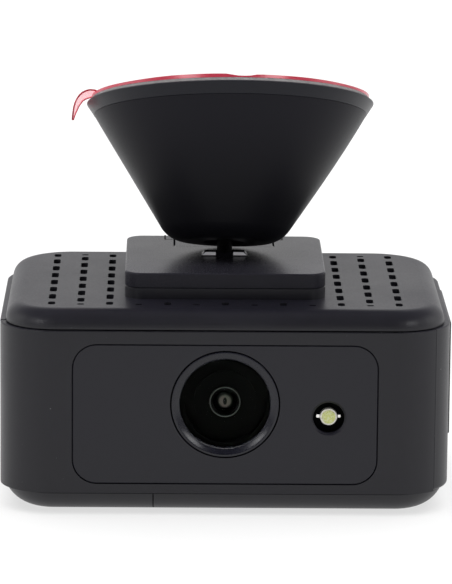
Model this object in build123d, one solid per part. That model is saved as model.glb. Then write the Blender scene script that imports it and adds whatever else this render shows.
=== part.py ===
from build123d import *
import os, math

# Dash camera with a slide-on, tilting windshield mount.
# Millimetres. X runs to the right seen from the lens side, Y runs from the lens
# side to the driver side, Z is up. The origin is the centre of the base face.

# ---------------------------------------------------------------- driving sizes
W, D, H = 100.7, 70.6, 46.4          # case across the side panels, depth, height to the top face
YF, YB = -D / 2, D / 2               # front and back faces
R_BAND = 11.5                        # plan radius of the front case corners
R_BACK = 3.0                         # the back corners are rounder by this much
W_COV = 98.1                         # top and bottom covers are narrower than the side panels
R_COV = 11.0
Z_BOT = 4.8                          # bottom cover meets the front shell
Z_TOP = 41.97                        # front shell meets the top cover
GAP = 0.25                           # shadow gap under the top cover
R_TOPEDGE, R_BOTEDGE = 3.75, 8.0     # the bottom rounding is cut off by the seam, which leaves a faint crease
WALL = 2.0
Y_SEAM = 32.06                       # front and back shells end here, side panels start
Z_LENS = 25.3                        # optical axis height
PAN_X, PAN_Z0, PAN_Z1, PAN_R = 33.95, 7.12, 38.8, 5.5    # inset front panel
PAN_T = 1.4
R_BEZ, R_GLASS, R_LHOLE = 11.95, 10.03, 12.25            # lens bezel, window, hole in the panel
LED_X, LED_Z, LED_R = 23.07, 22.31, 3.5                  # white lamp beside the lens
PITCH_X, PITCH_Y, SLOT_W, SLOT_L, SLOT_END = 6.46, 7.93, 1.6, 5.0, 28.5   # vent slots
PL_X, PL_Y, PL_R = 45.0, 44.4, 4.0   # quick-release plate and its pedestal
Z_PED, Z_PLT = 49.0, 52.3            # top of the pedestal, top of the plate
T_FIT = 0.12                         # sliding clearance of the rail
RAIL_X, RAIL_H = 30.0, 1.6           # rail across its crown, and its height
HZ = 62.35                           # height of the ball centre, straight above the origin
ROLL = 1.3                           # the mount also leans this far to +X on its ball
TILT = 16.93                         # the mount leans back by this angle as stored
MX = 0.17                            # the cone's skin stands this far beside the ball's centre
CONE_R0, CONE_K = 17.25, 0.635        # cone radius level with the ball centre, growth per mm of height
S_BOT, S_CONE, S_DISC, S_PAD, S_LINER = -7.15, 22.9, 26.2, 27.1, 27.6  # heights along the mount's own axis
R_DISC, R_PAD = 33.1, 31.7
BALL_R, NECK_R = 6.0, 1.75           # ball stud on the plate
FOOT_X, FOOT_Y, FOOT_H = 10.4, 3.9, 0.8   # bevelled foot under the stud
DOOR_Y0, DOOR_YH, DOOR_Z0, DOOR_Z1 = -14.6, 21.0, 13.9, 40.1   # card door, hinge line at DOOR_YH
DOOR_XH = 49.55
DOOR_OUT = 1.75                      # outer face of the door beyond its hinge axis, 0.95 proud of the side
Y_LSEAM = 24.4                       # the front shell wraps round the left corner to here

os.makedirs("parts", exist_ok=True)


# ---------------------------------------------------------------- helpers
def bx(x0, x1, y0, y1, z0, z1):
    return Pos((x0 + x1) / 2, (y0 + y1) / 2, (z0 + z1) / 2) * Box(x1 - x0, y1 - y0, z1 - z0)


def cy(x, z, r, y0, y1):
    return Pos(x, (y0 + y1) / 2, z) * Rot(90, 0, 0) * Cylinder(r, y1 - y0)


def cz(x, y, r, z0, z1):
    return Pos(x, y, (z0 + z1) / 2) * Cylinder(r, z1 - z0)


def cx(y, z, r, x0, x1):
    return Pos((x0 + x1) / 2, y, z) * Rot(0, 90, 0) * Cylinder(r, x1 - x0)


def rr(w, d, r, z0, z1):
    """Rounded rectangle standing on z0. Case-sized outlines have rounder back corners."""
    if w < 80:
        return Pos(0, 0, z0) * extrude(RectangleRounded(w, d, r), z1 - z0)
    s = Rectangle(w, d)
    s = fillet([v for v in s.vertices() if v.Y < 0], r)
    s = fillet([v for v in s.vertices() if v.Y > d / 2 - 0.01 and abs(v.X) > w / 2 - 0.01], r + R_BACK)
    return Pos(0, 0, z0) * extrude(s, z1 - z0)


def plate_y(w, h, r, x, z, y0, y1):
    """Rounded rectangle in XZ, extruded along Y from y0 to y1."""
    return Pos(x, y1, z) * Rot(90, 0, 0) * extrude(RectangleRounded(w, h, r), y1 - y0)


def rev(pts):
    """Closed profile of (radius, height) turned about Z."""
    return revolve(make_face(Plane.XZ * Polyline(*[(a, b) for a, b in pts], close=True)), Axis.Z)


def edges_at_z(s, z, tol=0.02):
    return [e for e in s.edges() if abs(e.bounding_box().min.Z - z) < tol and abs(e.bounding_box().max.Z - z) < tol]


def edges_at_y(s, y, tol=0.02):
    return [e for e in s.edges() if abs(e.bounding_box().min.Y - y) < tol and abs(e.bounding_box().max.Y - y) < tol]


def outer(es, n):
    return sorted(es, key=lambda e: -e.length)[:n]


def save(name, *shapes):
    sols = []
    for s in shapes:
        sols += list(s.solids())
    out = sols[0] if len(sols) == 1 else Compound(sols)
    out.label = name
    export_step(out, "parts/%s.step" % name)
    print(name, len(sols), round(sum(q.volume for q in sols), 2))


PX, PY = 40.0, 27.0                  # case screw columns
POSTS = [(-PX, -PY), (PX, -PY), (-PX + 1.5, PY - 1.5), (PX - 1.5, PY - 1.5)]
BX, BY = 33.0, 21.0                  # main board screw columns
BPOSTS = [(sx * BX, sy * BY) for sx in (-1, 1) for sy in (-1, 1)]
Z_PCB0, Z_PCB1 = 12.4, 14.0          # main board

# ---------------------------------------------------------------- case band: front, back, sides
band_full = rr(W, D, R_BAND, Z_BOT + 0.1, Z_TOP)
ring_body = rr(W, D, R_BAND, Z_BOT + 0.1, Z_TOP) - rr(W - 4.4, D - 4.4, R_BAND - 2.2, 0, 60)
front = band_full & bx(-60, 60, -40, -Y_SEAM, 0, 60)
front += ring_body & bx(-60, -30, -Y_SEAM - 0.2, -Y_LSEAM, 0, 60)
core = rr(W - 1.2, D - 1.2, R_BAND - 0.6, -5, 65).solids()[0]


def on_outline(es):
    """Edges that follow the outline of the case, not its inner wall or a joint face."""
    return [e for e in es if not core.is_inside(Vector((e @ 0.5).X, (e @ 0.5).Y, 30))]


front = fillet(on_outline(edges_at_z(front, Z_TOP)), 0.35)
# recess for the inset panel, opening for the lens and for the lamp
front -= plate_y(2 * PAN_X + 0.24, PAN_Z1 - PAN_Z0 + 0.24, PAN_R + 0.12, 0, (PAN_Z0 + PAN_Z1) / 2, YF - 1, YF + PAN_T + 0.02)
front -= cy(0, Z_LENS, R_LHOLE + 0.5, YF - 1, -30)
front -= cy(LED_X, LED_Z, 4.6, YF - 1, -30)
save("front_shell", front)

panel = plate_y(2 * PAN_X, PAN_Z1 - PAN_Z0, PAN_R, 0, (PAN_Z0 + PAN_Z1) / 2, YF + 0.02, YF + PAN_T)
panel = chamfer(edges_at_y(panel, YF + 0.02), 0.22)
panel -= cy(0, Z_LENS, R_LHOLE, YF - 1, -30)
panel -= cy(LED_X, LED_Z, LED_R, YF - 1, -30)
ring_e = [e for e in edges_at_y(panel, YF + 0.02) if e.geom_type == GeomType.CIRCLE and e.length > 15 and abs(e.arc_center.X - LED_X) < 1]
panel = chamfer(ring_e, 0.45)
save("front_panel", panel)

back = band_full & bx(-60, 60, Y_SEAM, 40, 0, 60)
IN_X, IN_Z = -20.0, 15.7             # power inlet
BT_X, BT_Z, BT_R = 16.0, 27.0, 5.0   # event button
LG_X, LG_Z = 0.0, 36.0               # status light guides
back -= plate_y(9.6, 3.9, 1.9, IN_X, IN_Z, 30, 37)
back -= plate_y(13.0, 7.6, 2.2, IN_X, IN_Z, 34.3, 37)
back -= cy(BT_X, BT_Z, BT_R + 0.25, 30, 37)
for i in (-1, 0, 1):
    back -= cy(LG_X + 7 * i, LG_Z, 1.05, 30, 37)
back -= cy(24.0, 14.8, 0.6, 30, 37)
save("back_cover", back)

Z_SIDE = Z_BOT + 0.15                # lower edge of the side panels
ring_band = rr(W, D, R_BAND, Z_SIDE, Z_TOP + 0.1) - rr(W - 4.4, D - 4.4, R_BAND - 2.2, 0, 60)


def side(sx):
    yf = Y_LSEAM if sx < 0 else Y_SEAM
    s = ring_band & bx(min(0, sx * 60), max(0, sx * 60), -yf + 0.12, Y_SEAM - 0.12, 0, 60)
    s = fillet(on_outline(edges_at_z(s, Z_SIDE)), 0.9)
    s = fillet(on_outline(edges_at_z(s, Z_TOP + 0.1)), 0.3)
    return s


save("left_side_panel", side(-1))

# right side panel carries the card bay: a window, a shallow tub behind it and the door's pin holes
rsp = side(1)
tub = bx(41.9, 48.2, DOOR_Y0 - 1.0, DOOR_YH + 2.6, DOOR_Z0 - 1.4, DOOR_Z1 + 1.4)
rsp = rsp + tub
rsp -= bx(43.1, 60, DOOR_Y0 + 0.4, DOOR_YH + 2.1, DOOR_Z0 - 0.2, DOOR_Z1 + 0.2)
rsp -= bx(48.05, 60, DOOR_Y0 - 0.2, DOOR_YH + 2.1, DOOR_Z0 - 0.2, DOOR_Z1 + 0.2)
CARD_Y, CARD_Z = 4.0, 15.45          # memory card centre
rsp -= bx(41, 44, CARD_Y - 5.8, CARD_Y + 5.8, CARD_Z - 0.8, CARD_Z + 0.8)
rsp -= cz(DOOR_XH, DOOR_YH, 0.5, DOOR_Z0 - 1.3, DOOR_Z1 + 1.3)
save("right_side_panel", rsp)

door = bx(DOOR_XH - 1.05, DOOR_XH + DOOR_OUT, DOOR_Y0 + 0.1, DOOR_YH, DOOR_Z0 + 0.1, DOOR_Z1 - 0.1)
door += cz(DOOR_XH, DOOR_YH, 1.05, DOOR_Z0 + 0.1, DOOR_Z1 - 0.1)
fe = [e for e in door.edges() if e.bounding_box().min.X > DOOR_XH + DOOR_OUT - 0.05 and e.length > 10 and e.bounding_box().min.Y < DOOR_YH - 0.1]
door = fillet(fe, 0.4)
door -= Pos(DOOR_XH + DOOR_OUT, DOOR_YH, 27) * Rot(0, 0, 45) * Box(0.8, 0.8, 60)
door -= cz(DOOR_XH, DOOR_YH, 0.55, 0, 60)
# finger dip at the free edge
door -= Pos(DOOR_XH + 4.05, DOOR_Y0 + 3.2, (DOOR_Z0 + DOOR_Z1) / 2) * Cylinder(2.9, 9.0)
save("card_door", door)
save("door_pin", cz(DOOR_XH, DOOR_YH, 0.5, DOOR_Z0 - 1.25, DOOR_Z1 + 1.25))

# ---------------------------------------------------------------- bottom cover
over = R_BOTEDGE - math.sqrt(R_BOTEDGE ** 2 - (R_BOTEDGE - Z_BOT) ** 2)
bot = rr(W_COV + 2 * over, D + 2 * over, R_COV + over, 0, 20)
bot = fillet(outer(edges_at_z(bot, 0), 8), R_BOTEDGE)
bot = bot & bx(-60, 60, -60, 60, -1, Z_BOT)
bot = bot + rr(W - 4.4 - 0.3, D - 6.9, R_BAND - 3.4, Z_BOT - 1.0, Z_BOT + 3.2)
inner = rr(W - 4.4 - 5.0, D - 9.7, R_BAND - 4.8, WALL, 60)
bot -= inner
for x, y in POSTS:
    bot += cz(x, y, 3.4, 1.1, 28.0)
for x, y in BPOSTS:
    bot += cz(x, y, 2.6, 1.0, Z_PCB0)
for x, y in POSTS:
    bot -= cz(x, y, 1.45, -1, 30)
    bot -= cz(x, y, 2.6, -1, 2.4)
for x, y in BPOSTS:
    bot -= cz(x, y, 0.82, 4.0, 30)
SPK_X, SPK_Y = -22.0, 2.0
for i in range(-2, 3):
    for j in range(-2, 3):
        if abs(i) + abs(j) < 4:
            bot -= cz(SPK_X + 3 * i, SPK_Y + 3 * j, 0.7, -1, 3)
# fine slit in the front of the bottom cover, beside the lens
bot -= bx(-16.03, -15.77, YF - 1, YF + 4.2, -1, Z_BOT + 0.01)
# relief that lets the right tub and the side panels pass
bot -= bx(41.5, 60, DOOR_Y0 - 1.6, DOOR_YH + 3.2, DOOR_Z0 - 1.8, 60)
save("bottom_cover", bot)

# ---------------------------------------------------------------- top cover with pedestal and rail
ZT0 = Z_TOP + GAP
top = rr(W_COV, D, R_COV, ZT0, H)
top = fillet(outer(edges_at_z(top, H), 8), R_TOPEDGE)
tl = rr(W - 4.4 - 0.3, D - 6.9, R_BAND - 3.4, ZT0 - 2.6, ZT0 + 0.4)
top = top + tl
top -= rr(W - 4.4 - 3.1, D - 9.7, R_BAND - 4.8, 30, H - WALL)
for x, y in POSTS:
    top += cz(x, y, 3.4, 28.1, H - 1.0)
ped = rr(PL_X, PL_Y, PL_R, H - 0.5, Z_PED)
ped = chamfer(outer(edges_at_z(ped, Z_PED), 8), 0.2)
top += ped
# rail: widens upwards, so the plate is held down
rail = Pos(0, 22.2 - 4.0, 0) * Rot(90, 0, 0) * extrude(make_face(Polyline((-RAIL_X / 2 + 1.4, Z_PED - 0.2), (RAIL_X / 2 - 1.4, Z_PED - 0.2), (RAIL_X / 2 - 1.4, Z_PED), (RAIL_X / 2, Z_PED + RAIL_H), (-RAIL_X / 2, Z_PED + RAIL_H), (-RAIL_X / 2 + 1.4, Z_PED), close=True)), 36.4)
top += rail
top -= bx(41.5, 60, DOOR_Y0 - 1.6, DOOR_YH + 3.2, 30, DOOR_Z1 + 1.8)
for x, y in POSTS:
    top -= cz(x, y, 0.98, 28.0, H - 3.0)
slots = []
for k in range(-6, 7):
    x = k * PITCH_X
    under = abs(x) < PL_X / 2 + 0.8
    if k % 2 == 0:
        spans = [(c - SLOT_L / 2, c + SLOT_L / 2) for c in (PITCH_Y * 0.5, PITCH_Y * 1.5, PITCH_Y * 2.5)]
        spans.append((PITCH_Y * 3.5 - SLOT_L / 2 + 0.1, SLOT_END))
    else:
        spans = [(-SLOT_L / 2, SLOT_L / 2)] + [(c - SLOT_L / 2, c + SLOT_L / 2) for c in (PITCH_Y, PITCH_Y * 2)]
        spans += [(PITCH_Y * 3 - SLOT_L / 2, PITCH_Y * 3 + 1.55), (27.3, SLOT_END)]
    for a, b in spans:
        for sy in ((1,) if a < 0 else (1, -1)):
            y0, y1 = (a, b) if sy == 1 else (-b, -a)
            if under and min(abs(y0), abs(y1)) < PL_Y / 2 + 2.2:
                continue
            L = y1 - y0
            slots.append(Pos(x, (y0 + y1) / 2, H - 4.5) * extrude(RectangleRounded(SLOT_W, L, min(0.68, L / 2 - 0.06)), 6))
top = top - slots
save("top_cover", top)

# ---------------------------------------------------------------- case screws
def screw_up(x, y, z0, head_r, head_h, r, length):
    """Pan head at z0 pointing down, shank running up."""
    s = cz(x, y, head_r, z0, z0 + head_h) + cz(x, y, r, z0 + head_h, z0 + head_h + length)
    s -= Pos(x, y, z0 - 0.01) * extrude(RectangleRounded(0.55, 2.2, 0.2), 0.8)
    s -= Pos(x, y, z0 - 0.01) * extrude(RectangleRounded(2.2, 0.55, 0.2), 0.8)
    return s


def screw_down(x, y, z0, head_r, head_h, r, length):
    s = cz(x, y, head_r, z0, z0 + head_h) + cz(x, y, r, z0 - length, z0)
    s -= Pos(x, y, z0 + head_h - 0.6) * extrude(RectangleRounded(0.5, 2.0, 0.2), 1)
    s -= Pos(x, y, z0 + head_h - 0.6) * extrude(RectangleRounded(2.0, 0.5, 0.2), 1)
    return s


save("case_screws", *[screw_up(x, y, 0.75, 2.3, 1.6, 0.95, 34.0) for x, y in POSTS])
save("board_screws", *[screw_down(x, y, Z_PCB1, 1.9, 1.2, 0.8, 8.0) for x, y in BPOSTS])

# ---------------------------------------------------------------- main board and what it carries
pcb = bx(-42.5, 40.6, -26.6, 29.0, Z_PCB0, Z_PCB1)
for x, y in POSTS:
    pcb -= cz(x, y, 3.8, 0, 60)
for x, y in BPOSTS:
    pcb -= cz(x, y, 1.0, 0, 60)
pcb -= bx(34, 60, -60, DOOR_Y0 - 20, 0, 60)
pcb -= bx(PX - 2.5, 60, PY - 1.5, 40, 0, 60) + bx(-60, -PX + 2.5, PY - 1.5, 40, 0, 60)
save("main_board", pcb)

save("processor", bx(4, 20, -12, 4, Z_PCB1, Z_PCB1 + 1.4))
save("thermal_pad", bx(4.5, 19.5, -11.5, 3.5, Z_PCB1 + 1.4, Z_PCB1 + 2.4))
zs = Z_PCB1 + 2.4
hs = bx(-6, 23, -14, 12.6, zs, zs + 1.5)
for i in range(8):
    hs += bx(-5 + 3.6 * i, -4 + 3.6 * i, -14, 12.6, zs + 1.2, zs + 9)
save("heat_sink", hs)
mem = bx(-9, -1, -12, 2, Z_PCB1, Z_PCB1 + 1.1)
save("memory_chips", mem, bx(-9, -1, 4, 14, Z_PCB1, Z_PCB1 + 1.1))
can = bx(-38, -12, -18, 8, Z_PCB1, Z_PCB1 + 3.2)
can -= bx(-37.7, -12.3, -17.7, 7.7, Z_PCB1 - 1, Z_PCB1 + 2.9)
save("modem_shield", can)
save("modem_module", bx(-36, -14, -16, 6, Z_PCB1, Z_PCB1 + 2.4))
save("supercapacitors", cx(18.2, Z_PCB1 + 5.0, 5.0, -8.0, 8.0), cx(18.2, Z_PCB1 + 5.0, 5.0, 9.0, 25.0))
# power inlet: shell with a tongue inside
inl = plate_y(8.9, 3.2, 1.55, IN_X, IN_Z, 27.6, 35.0) - plate_y(8.3, 2.6, 1.28, IN_X, IN_Z, 28.6, 36)
inl += bx(IN_X - 3.3, IN_X + 3.3, 28.0, 33.6, IN_Z - 0.35, IN_Z + 0.35)
inl += bx(IN_X - 4.2, IN_X + 4.2, 27.6, 29.0, Z_PCB1, IN_Z)
save("power_inlet", inl)
sock = bx(27.4, 41.6, CARD_Y - 7, CARD_Y + 7, Z_PCB1, Z_PCB1 + 2.6)
sock -= bx(28.2, 43, CARD_Y - 5.65, CARD_Y + 5.65, CARD_Z - 0.65, CARD_Z + 0.65)
save("card_socket", sock)
card = bx(28.9, 43.7, CARD_Y - 5.5, CARD_Y + 5.5, CARD_Z - 0.5, CARD_Z + 0.5)
card -= bx(28, 34.6, CARD_Y + 4.2, CARD_Y + 6, CARD_Z - 2, CARD_Z + 2)
card += bx(42.8, 43.7, CARD_Y - 5.5, CARD_Y + 5.5, CARD_Z + 0.49, CARD_Z + 0.68)
save("memory_card", card)
save("speaker", cz(SPK_X, SPK_Y, 9.0, WALL, WALL + 3.6) + cz(SPK_X, SPK_Y, 6.0, WALL + 3.5, WALL + 5.2))
save("microphone", bx(22, 26, 24.6, 27.6, Z_PCB1, Z_PCB1 + 1.2))
save("gnss_antenna", bx(-36, -11, -12.5, 12.5, 36.4, 40.4) + bx(-37, -10, -13.5, 13.5, 35.4, 36.45))
save("lte_antenna", bx(-47.3, -47.0, -20, 20, 18, 36))
save("board_connector", bx(-7, 7, -20.8, -17.0, Z_PCB1, Z_PCB1 + 2.2))

# ---------------------------------------------------------------- camera module behind the panel
Y_CB0, Y_CB1 = -23.4, -22.2          # camera board
cb = plate_y(30, 22, 1.0, 0, Z_LENS, Y_CB0, Y_CB1)
for sx in (-1, 1):
    for sz in (-1, 1):
        cb -= cy(sx * 12.4, Z_LENS + sz * 8.4, 0.9, -40, 0)
save("camera_board", cb)
bez = cy(0, Z_LENS, R_BEZ, YF + 0.05, YF + 4.3) - cy(0, Z_LENS, R_GLASS + 0.02, YF - 1, 0)
bez += cy(0, Z_LENS, R_LHOLE + 1.9, YF + 3.3, YF + 4.3) - cy(0, Z_LENS, R_GLASS - 0.7, YF - 1, 0)
be = [e for e in edges_at_y(bez, YF + 0.05) if e.geom_type == GeomType.CIRCLE and e.radius < 11]
bez = chamfer(be, 0.45, 1.35)
be = [e for e in edges_at_y(bez, YF + 0.05) if e.geom_type == GeomType.CIRCLE and e.radius > 11.5]
bez = chamfer(be, 0.12)
bez += cy(0, Z_LENS, R_GLASS + 0.5, YF + 1.75, YF + 3.2) - cy(0, Z_LENS, R_GLASS - 0.7, YF - 1, 0)
save("lens_bezel", bez)
save("lens_window", cy(0, Z_LENS, R_GLASS - 0.03, YF + 0.5, YF + 1.73))
barrel = cy(0, Z_LENS, 6.0, -31.4, Y_CB0 - 1.6) + cy(0, Z_LENS, 6.9, -31.4, -30.6) + cy(0, Z_LENS, 3.45, -32.6, -31.3)
barrel -= cy(0, Z_LENS, 2.75, -34, -31.0)
barrel -= cy(0, Z_LENS, 2.2, -32, -20)
barrel -= cy(0, Z_LENS, 4.4, -27.0, -20)
be = [e for e in edges_at_y(barrel, -32.6) if e.geom_type == GeomType.CIRCLE and e.radius > 3]
barrel = chamfer(be, 0.3)
save("lens_barrel", barrel)
fe_ = cy(0, Z_LENS, 2.72, -32.1, -31.05) & (Pos(0, -32.35 + 4.2, Z_LENS) * Sphere(4.2))
save("lens_elements", fe_, cy(0, Z_LENS, 4.35, -26.9, -25.6))
bf = cy(0, Z_LENS, 9.2, -31.0, -29.6) - cy(0, Z_LENS, 6.05, -40, 0)
bf -= cy(0, Z_LENS, 6.95, -31.6, -30.55)
save("light_baffle", bf)
hold = plate_y(17, 17, 1.2, 0, Z_LENS, -29.2, Y_CB0) - cy(0, Z_LENS, 6.02, -40, -24.9) - cy(0, Z_LENS, 5.2, -40, 0)
save("lens_holder", hold)
save("ir_filter", plate_y(6.6, 6.6, 0.4, 0, Z_LENS, Y_CB0 - 1.5, Y_CB0 - 1.2))
save("image_sensor", plate_y(7.0, 7.0, 0.2, 0, Z_LENS, Y_CB0 - 1.1, Y_CB0))
scr = []
for sx in (-1, 1):
    for sz in (-1, 1):
        s = cy(sx * 12.4, Z_LENS + sz * 8.4, 1.6, Y_CB1, Y_CB1 + 1.0) + cy(sx * 12.4, Z_LENS + sz * 8.4, 0.75, Y_CB1 - 6.0, Y_CB1)
        scr.append(s)
save("camera_screws", *scr)
# bracket that stands on the shell behind the panel and carries the camera board
brk = bx(-17, 17, -30.9, -29.3, 11.5, 39.1) - cy(0, Z_LENS, 9.6, -40, 0)
for sx in (-1, 1):
    for sz in (-1, 1):
        brk += bx(sx * 15.2 - 1.8, sx * 15.2 + 1.8, -32.0, -30.8, Z_LENS + sz * 12.0 - 1.8, Z_LENS + sz * 12.0 + 1.8)
for sx in (-1, 1):
    for sz in (-1, 1):
        brk += cy(sx * 12.4, Z_LENS + sz * 8.4, 2.3, -30.9, Y_CB0)
        brk -= cy(sx * 12.4, Z_LENS + sz * 8.4, 0.8, -29.5, 0)
save("camera_bracket", brk)
# flat cable from the camera board down to the main board
path = [(Y_CB1, 20.0), (-20.3, 20.0), (-19.3, 19.6), (-18.9, 18.6), (-18.9, Z_PCB1 + 2.2)]
off = [(Y_CB1, 20.2), (-20.2, 20.2), (-19.15, 19.75), (-18.7, 18.65), (-18.7, Z_PCB1 + 2.2)]
rib = make_face(Plane.YZ * Polyline(*(path + off[::-1]), close=True))
save("ribbon_cable", Pos(-5, 0, 0) * extrude(rib, 10))

# ---------------------------------------------------------------- white lamp beside the lens
well = cy(LED_X, LED_Z, 4.5, -33.7, -31.2) - cy(LED_X, LED_Z, 3.62, -40, -32.2)
save("lamp_well", well)
save("lamp_board", bx(LED_X - 4.2, LED_X + 4.2, -31.2, -30.2, LED_Z - 5, LED_Z + 5))
YL = -33.85                          # front face of the lamp package
pk = plate_y(3.7, 3.5, 0.9, LED_X, LED_Z, YL, -32.25) - cy(LED_X, LED_Z, 1.45, YL - 1, YL + 0.5)
save("lamp_package", pk)
save("lamp_phosphor", cy(LED_X, LED_Z, 1.42, YL + 0.08, YL + 0.48))
save("lamp_leads", bx(LED_X - 2.75, LED_X - 1.9, -33.0, -32.25, LED_Z - 0.42, LED_Z + 0.42),
     bx(LED_X + 1.9, LED_X + 2.75, -33.0, -32.25, LED_Z - 0.42, LED_Z + 0.42))

# ---------------------------------------------------------------- event button and status lights
bt = cy(BT_X, BT_Z, BT_R, 33.2, 36.0)
bt = fillet([e for e in edges_at_y(bt, 36.0)], 0.6)
bt += cy(BT_X, BT_Z, BT_R + 1.0, 31.0, 31.8) + cy(BT_X, BT_Z, BT_R, 31.7, 33.3) + cy(BT_X, BT_Z, 1.5, 30.4, 31.1)
save("event_button", bt)
save("button_board", bx(4, 28, 25.6, 26.8, 19.0, 34.5))
save("tact_switch", bx(BT_X - 3, BT_X + 3, 26.8, 29.2, BT_Z - 3, BT_Z + 3))
save("light_guides", *[cy(LG_X + 7 * i, LG_Z, 1.0, 27.0, 35.2) for i in (-1, 0, 1)])

# ---------------------------------------------------------------- quick-release plate
plate = rr(PL_X, PL_Y, PL_R, Z_PED + 0.06, Z_PLT)
plate = fillet(outer(edges_at_z(plate, Z_PLT), 8), 0.35)
# undercut channel, closed at the front, open at the back
ch = Pos(0, 30.0, 0) * Rot(90, 0, 0) * extrude(make_face(Polyline(
    (-RAIL_X / 2 + 1.4 - T_FIT - 0.3, Z_PED - 1), (RAIL_X / 2 - 1.4 + T_FIT + 0.3, Z_PED - 1), (RAIL_X / 2 - 1.4 + T_FIT + 0.15, Z_PED),
    (RAIL_X / 2 + T_FIT + 0.15, Z_PED + RAIL_H + T_FIT), (-RAIL_X / 2 - T_FIT - 0.15, Z_PED + RAIL_H + T_FIT),
    (-RAIL_X / 2 + 1.4 - T_FIT - 0.15, Z_PED), close=True)), 30.0 + 18.45)
plate -= ch
# bevelled foot for the ball stud, and the hole of its shank
foot = Pos(0, 0, Z_PLT - 0.2) * extrude(Rectangle(FOOT_X + 0.36, FOOT_Y + 0.26), FOOT_H + 0.2, taper=38)
plate += foot
plate -= cz(0, 0, 1.5, Z_PED, Z_PLT + 3)
# two slits leave a springy tongue, which is a piece of its own
TG_X, TG_Y, SLIT = 11.45, 9.3, 0.42
plate -= bx(-TG_X - SLIT / 2, TG_X + SLIT / 2, TG_Y, 40, Z_PED - 1, Z_PLT + 1)
# the tongue widens at its free end, for a thumb, so the slits turn outwards there
EAR_X, EAR_Y = 13.6, 17.6
plate -= bx(-EAR_X - SLIT / 2, EAR_X + SLIT / 2, EAR_Y - SLIT, 40, Z_PED - 1, Z_PLT + 1)
save("slide_plate", plate)
tong = rr(PL_X, PL_Y, PL_R, Z_PED + RAIL_H + T_FIT + 0.02, Z_PLT)
tong = fillet(outer(edges_at_z(tong, Z_PLT), 8), 0.35)
tong = tong & (bx(-TG_X + SLIT / 2, TG_X - SLIT / 2, TG_Y + 0.12, 40, 0, 60) + bx(-EAR_X + SLIT / 2, EAR_X - SLIT / 2, EAR_Y, 40, 0, 60))
save("release_tongue", tong)
stud = cz(0, 0, 1.5, Z_PED + RAIL_H + T_FIT + 0.05, Z_PLT + FOOT_H + 0.1)
stud += cz(0, 0, NECK_R, Z_PLT + FOOT_H, HZ - 4.6)
stud += Pos(0, 0, HZ) * Sphere(BALL_R)
stud -= cz(0, 0, 10, HZ + BALL_R - 0.55, HZ + 10)
save("ball_stud", stud)

# ---------------------------------------------------------------- mount on the ball, drawn upright about the ball, then leaned back
MT = Pos(0, 0, HZ) * Rot(0, ROLL, 0) * Rot(-TILT, 0, 0)
CX = Pos(MX, 0, 0)


def rc(s):
    return CONE_R0 + CONE_K * s


sk = make_face(Polyline((0, S_BOT), (rc(S_BOT), S_BOT), (rc(S_CONE), S_CONE), (0, S_CONE), close=True))
v = [q for q in sk.vertices() if abs(q.X - rc(S_BOT)) < 0.01 and abs(q.Y - S_BOT) < 0.01]
sk = fillet(v, 6.8)
outer_c = CX * revolve(Plane.XZ * sk, Axis.Z)
S_FLOOR, SEAT_R = 2.0, 8.1
cone = outer_c - (CX * rev([(0, S_FLOOR), (rc(S_FLOOR) - 2.8, S_FLOOR), (rc(S_CONE + 1) - 2.8, S_CONE + 1), (0, S_CONE + 1)]))
bosses = [(22.0 * math.cos(a), 22.0 * math.sin(a)) for a in [math.radians(45 + 90 * i) for i in range(4)]]
for x, y in bosses:
    cone += (CX * cz(x, y, 3.0, 8.0, S_CONE - 0.1)) & outer_c
for x, y in bosses:
    cone -= CX * cz(x, y, 1.0, 14.5, 40)
# round seat of the ball with a flared mouth for the neck
cone -= cz(0, 0, SEAT_R + 0.08, -5.2, 20)
cone -= rev([(0, -8), (4.95, -8), (4.65, S_BOT), (4.0, -5.1), (0, -5.1)])
CSC = [(12.0 * math.cos(a), 12.0 * math.sin(a)) for a in [math.radians(90 + 120 * i) for i in range(3)]]
for x, y in CSC:
    cone -= cz(x, y, 0.8, -3.0, 4)
save("mount_cone", MT * cone)
ballspace = Sphere(BALL_R + 0.05)
low = cz(0, 0, SEAT_R, -5.14, -0.06) - ballspace - cz(0, 0, 3.95, -9, 0)
upp = cz(0, 0, SEAT_R, 0.06, 4.94) - ballspace - cz(0, 0, 3.4, 0, 9)
save("lower_ball_seat", MT * low)
save("upper_ball_seat", MT * upp)
cap = rev([(0, 6.3), (4.6, 6.3), (4.6, 5.0), (SEAT_R + 0.08, 5.0), (SEAT_R + 0.08, S_FLOOR + 0.05), (14.4, S_FLOOR + 0.05), (14.4, 4.0), (10.1, 4.0), (10.1, 7.7), (0, 7.7)])
for x, y in CSC:
    cap -= cz(x, y, 0.95, -5, 12)
save("socket_cap", MT * cap)
save("clamp_screws", *[MT * screw_down(x, y, 4.0, 1.65, 1.2, 0.76, 6.6) for x, y in CSC])

disc = rev([(0, 23.9), (25.0, 23.9), (25.0, 21.0), (rc(21.0) - 3.1, 21.0), (rc(S_CONE) - 3.1, S_CONE), (rc(S_CONE) - 3.1, S_CONE + 0.15), (31.25, S_CONE + 0.15), (32.3, S_CONE + 0.95),
            (32.85, S_CONE + 1.6), (R_DISC, S_CONE + 2.3), (32.95, S_CONE + 2.75), (32.5, S_DISC - 0.3), (31.95, S_DISC), (0, S_DISC)])
disc = CX * disc
for x, y in bosses:
    disc -= CX * cz(x, y, 1.3, 20, 40)
    disc -= CX * Pos(x, y, S_DISC - 0.6) * Cone(1.3, 2.5, 1.22)
save("mount_disc", MT * disc)
ds = []
for x, y in bosses:
    s = cz(x, y, 0.95, 15.5, S_DISC - 1.0) + Pos(x, y, S_DISC - 0.75) * Cone(1.1, 2.2, 1.1)
    s -= Pos(x, y, S_DISC - 0.85) * extrude(RectangleRounded(0.45, 1.8, 0.15), 1)
    s -= Pos(x, y, S_DISC - 0.85) * extrude(RectangleRounded(1.8, 0.45, 0.15), 1)
    ds.append(MT * (CX * s))
save("disc_screws", *ds)
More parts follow.
